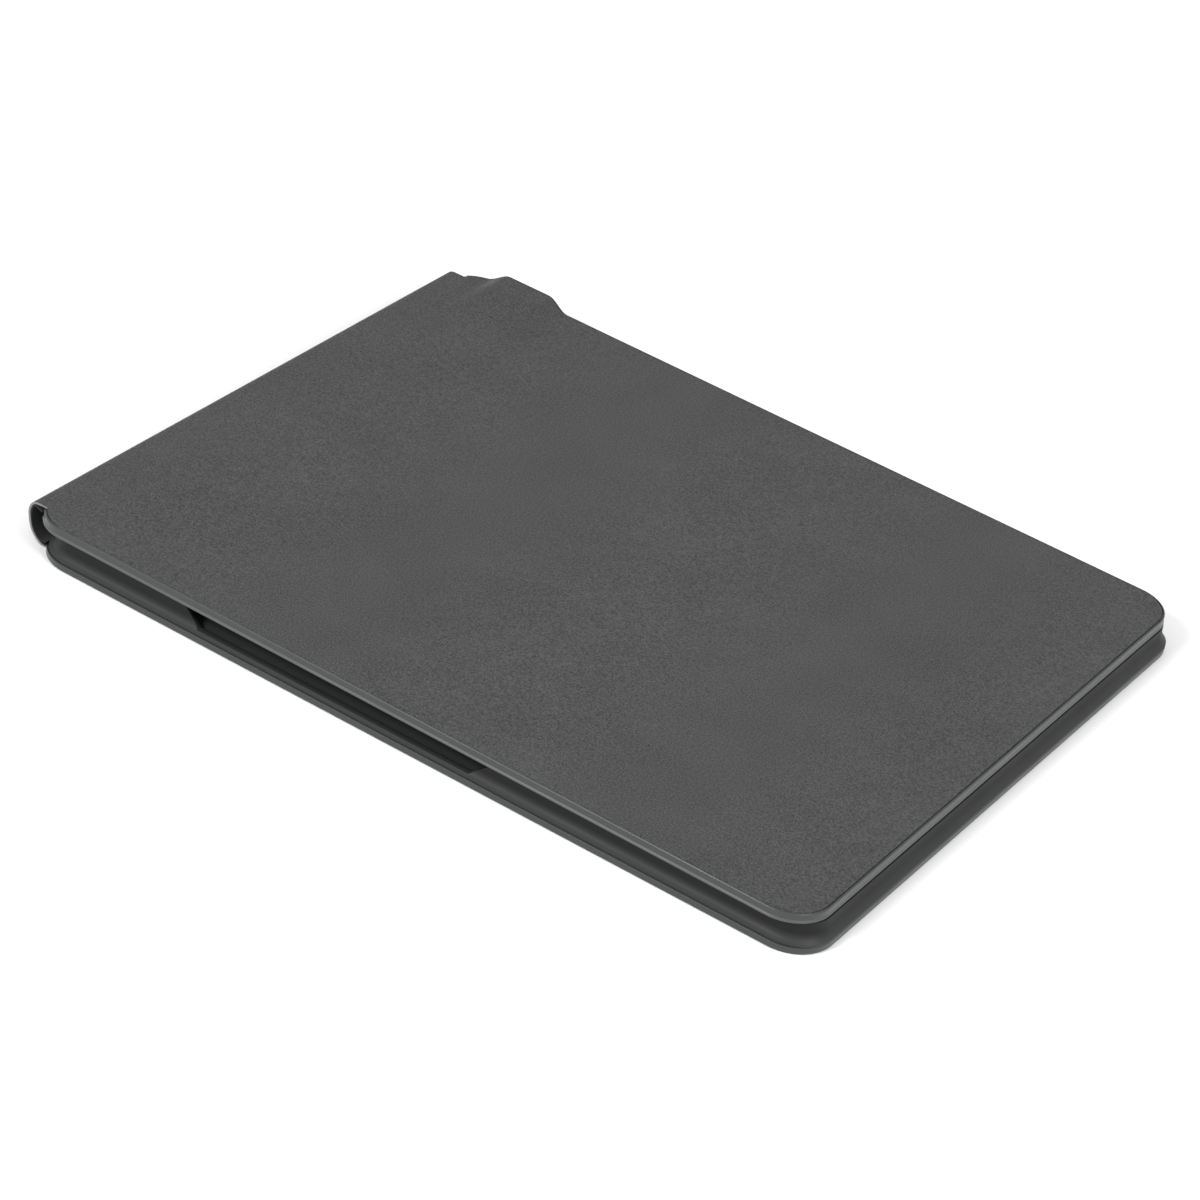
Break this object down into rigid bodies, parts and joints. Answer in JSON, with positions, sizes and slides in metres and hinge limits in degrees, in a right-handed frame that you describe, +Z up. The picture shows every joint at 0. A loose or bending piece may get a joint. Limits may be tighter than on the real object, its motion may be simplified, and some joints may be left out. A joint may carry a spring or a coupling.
{
  "type": "tablet case",
  "caption": "Slim flip-over tablet case: moulded tray on a stiff back, thin grained cover with a raised relief, and a soft folding spine.",
  "frame": {"origin": "bottom centre of the closed case's box", "axes": "+X from the spine to the free edge, +Y along the spine away from the side with the window, +Z up, closed and lying on its back"},
  "size_m": [0.2428, 0.2, 0.0152],
  "materials": {
    "grained_skin": "fine matt grain",
    "edge_band": "satin",
    "moulded_plastic": "satin",
    "microfibre": "short nap",
    "fibre_board": "raw board",
    "plated_magnet": "nickel plate"
  },
  "bodies": {
    "back": {"back_skin": "grained_skin", "back_rim": "edge_band", "back_board": "fibre_board", "tray_shell": "moulded_plastic", "tray_lining": "microfibre", "tray_magnet_1": "plated_magnet", "tray_magnet_2": "plated_magnet", "tray_magnet_3": "plated_magnet", "tray_magnet_4": "plated_magnet"},
    "spine_lower": {"spine_skin_lower": "grained_skin", "spine_lining_lower": "microfibre"},
    "spine_upper": {"spine_skin_upper": "grained_skin", "spine_lining_upper": "microfibre"},
    "cover": {"cover_skin": "grained_skin", "cover_rim": "edge_band", "cover_board": "fibre_board", "cover_lining": "microfibre", "cover_magnet_1": "plated_magnet", "cover_magnet_2": "plated_magnet", "cover_magnet_3": "plated_magnet", "cover_magnet_4": "plated_magnet", "sleep_magnet": "plated_magnet"}
  },
  "joints": [
    {"name": "fold_1", "type": "hinge", "parent": "back", "child": "spine_lower", "pos_m": [-0.11714, 0, 0.00022], "axis": [0, -1, 0], "range_deg": [0, 60]},
    {"name": "fold_2", "type": "hinge", "parent": "spine_lower", "child": "spine_upper", "pos_m": [-0.12139, 0, 0.0076], "axis": [0, -1, 0], "range_deg": [0, 60]},
    {"name": "fold_3", "type": "hinge", "parent": "spine_upper", "child": "cover", "pos_m": [-0.11904, 0, 0.01167], "axis": [0, -1, 0], "range_deg": [0, 60]}
  ],
  "couplings": [
    {"joint": "fold_2", "follows": "fold_1", "ratio": 1},
    {"joint": "fold_3", "follows": "fold_1", "ratio": 1}
  ]
}
